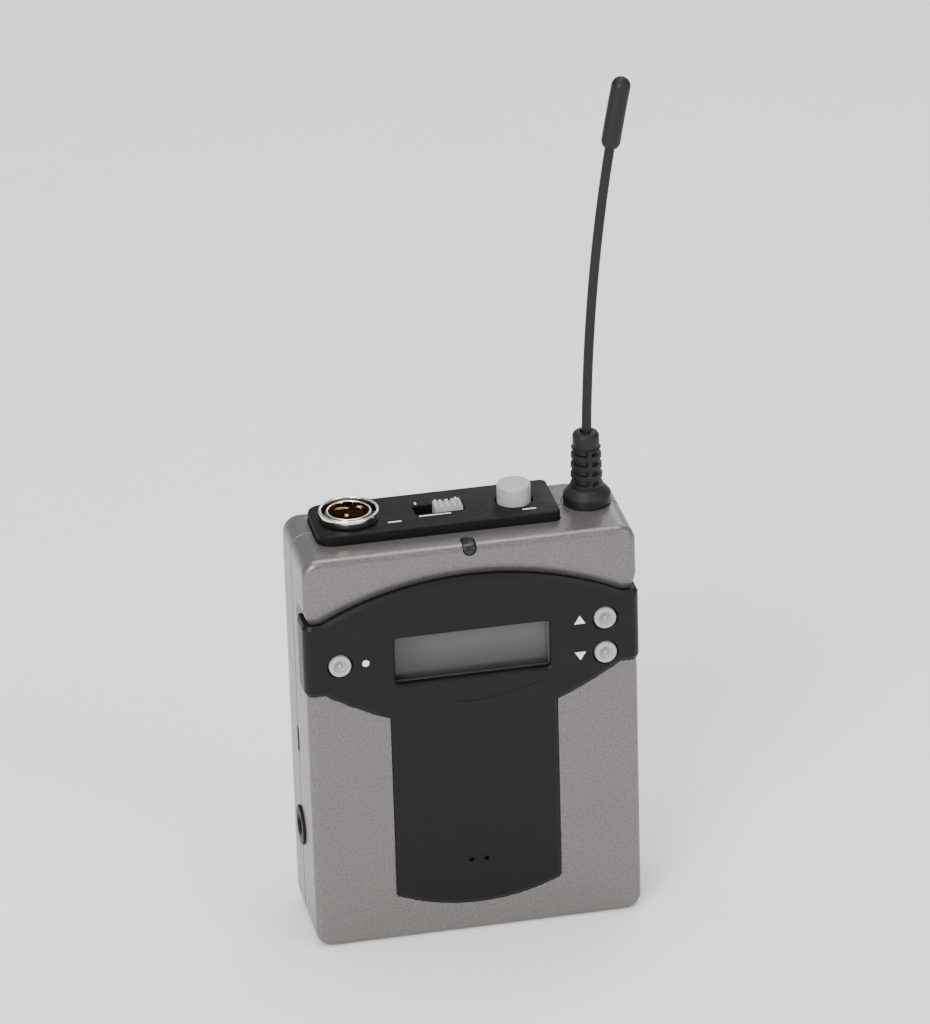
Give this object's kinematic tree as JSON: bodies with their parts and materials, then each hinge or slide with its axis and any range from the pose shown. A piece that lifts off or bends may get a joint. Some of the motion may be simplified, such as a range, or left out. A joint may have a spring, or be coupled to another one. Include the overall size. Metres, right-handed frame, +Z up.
{
  "type": "wireless bodypack transmitter",
  "caption": "Slim belt-worn radio microphone transmitter with whip antenna, display panel, round keys, mini microphone socket, level slider, power button, battery door and wire belt clip.",
  "frame": {"origin": "centre of the case's flat bottom face, on which the pack stands", "axes": "+Z up along the case and antenna, -Y out of the display face, +X towards the antenna's side"},
  "size_m": [0.0689, 0.0305, 0.171],
  "materials": {
    "shell_paint": "satin warm grey metallic paint over moulded ABS",
    "panel_black": "black ABS, fine satin",
    "top_black": "black ABS, spark textured",
    "key_grey": "light grey key caps",
    "lens": "clear acrylic window over a grey-green LCD",
    "lcd": "reflective LCD, off",
    "light_pipe": "smoked light pipe",
    "antenna_rubber": "moulded black rubber",
    "chrome": "polished",
    "brass": "gilt",
    "steel": "zinc plated",
    "insulator": "dark brown moulded insulator",
    "board": "green solder mask",
    "tin": "tin plated can",
    "switch_black": "moulded",
    "cell_jacket": "plain printed jacket",
    "tray_black": "moulded"
  },
  "bodies": {
    "root": {"front_shell": "shell_paint", "rear_shell": "shell_paint", "display_panel": "panel_black", "display_lens": "lens", "lcd_module": "lcd", "tact_switch_set": "switch_black", "tact_switch_up": "switch_black", "tact_switch_down": "switch_black", "main_board": "board", "top_board": "board", "rf_shield": "tin", "top_panel": "top_black", "mic_socket_ring": "chrome", "mic_socket_body": "insulator", "mic_socket_nut": "steel", "mic_pin_1": "brass", "mic_pin_2": "brass", "mic_pin_3": "brass", "slide_switch_body": "tin", "power_switch_body": "switch_black", "antenna_boot": "antenna_rubber", "antenna_whip": "antenna_rubber", "antenna_tip": "antenna_rubber", "antenna_stud": "brass", "antenna_nut": "brass", "status_light_pipe": "light_pipe", "battery_1": "cell_jacket", "battery_2": "cell_jacket", "battery_tray": "tray_black", "contact_spring_1": "steel", "contact_spring_2": "steel", "contact_plate_lower": "steel", "contact_plate_upper": "steel", "charging_jack": "top_black", "case_screw_1": "steel", "board_screw_1": "steel", "case_screw_2": "steel", "board_screw_2": "steel", "case_screw_3": "steel", "board_screw_3": "steel", "case_screw_4": "steel", "board_screw_4": "steel"},
    "set_key": {"key_set": "key_grey"},
    "up_key": {"key_up": "key_grey"},
    "down_key": {"key_down": "key_grey"},
    "power_button": {"power_button": "key_grey"},
    "level_slider": {"level_slider": "key_grey"},
    "battery_door": {"battery_door": "shell_paint"},
    "belt_clip": {"belt_clip": "chrome"}
  },
  "joints": [
    {"name": "set_key_press", "type": "slide", "parent": "root", "child": "set_key", "axis": [0, 1, 0], "range_m": [0, 0.0004], "stiffness_N_per_m": 2000},
    {"name": "up_key_press", "type": "slide", "parent": "root", "child": "up_key", "axis": [0, 1, 0], "range_m": [0, 0.0004], "stiffness_N_per_m": 2000},
    {"name": "down_key_press", "type": "slide", "parent": "root", "child": "down_key", "axis": [0, 1, 0], "range_m": [0, 0.0004], "stiffness_N_per_m": 2000},
    {"name": "power_button_press", "type": "slide", "parent": "root", "child": "power_button", "axis": [0, 0, -1], "range_m": [0, 0.0012], "stiffness_N_per_m": 1500},
    {"name": "level_slide", "type": "slide", "parent": "root", "child": "level_slider", "axis": [1, 0, 0], "range_m": [-0.0036, 0]},
    {"name": "battery_door_slide", "type": "slide", "parent": "root", "child": "battery_door", "axis": [0, 0, -1], "range_m": [0, 0.008]},
    {"name": "belt_clip_hinge", "type": "hinge", "parent": "root", "child": "belt_clip", "pos_m": [0, 0.0136, 0.08], "axis": [1, 0, 0], "range_deg": [0, 15], "stiffness_Nm_per_rad": 0.3}
  ]
}
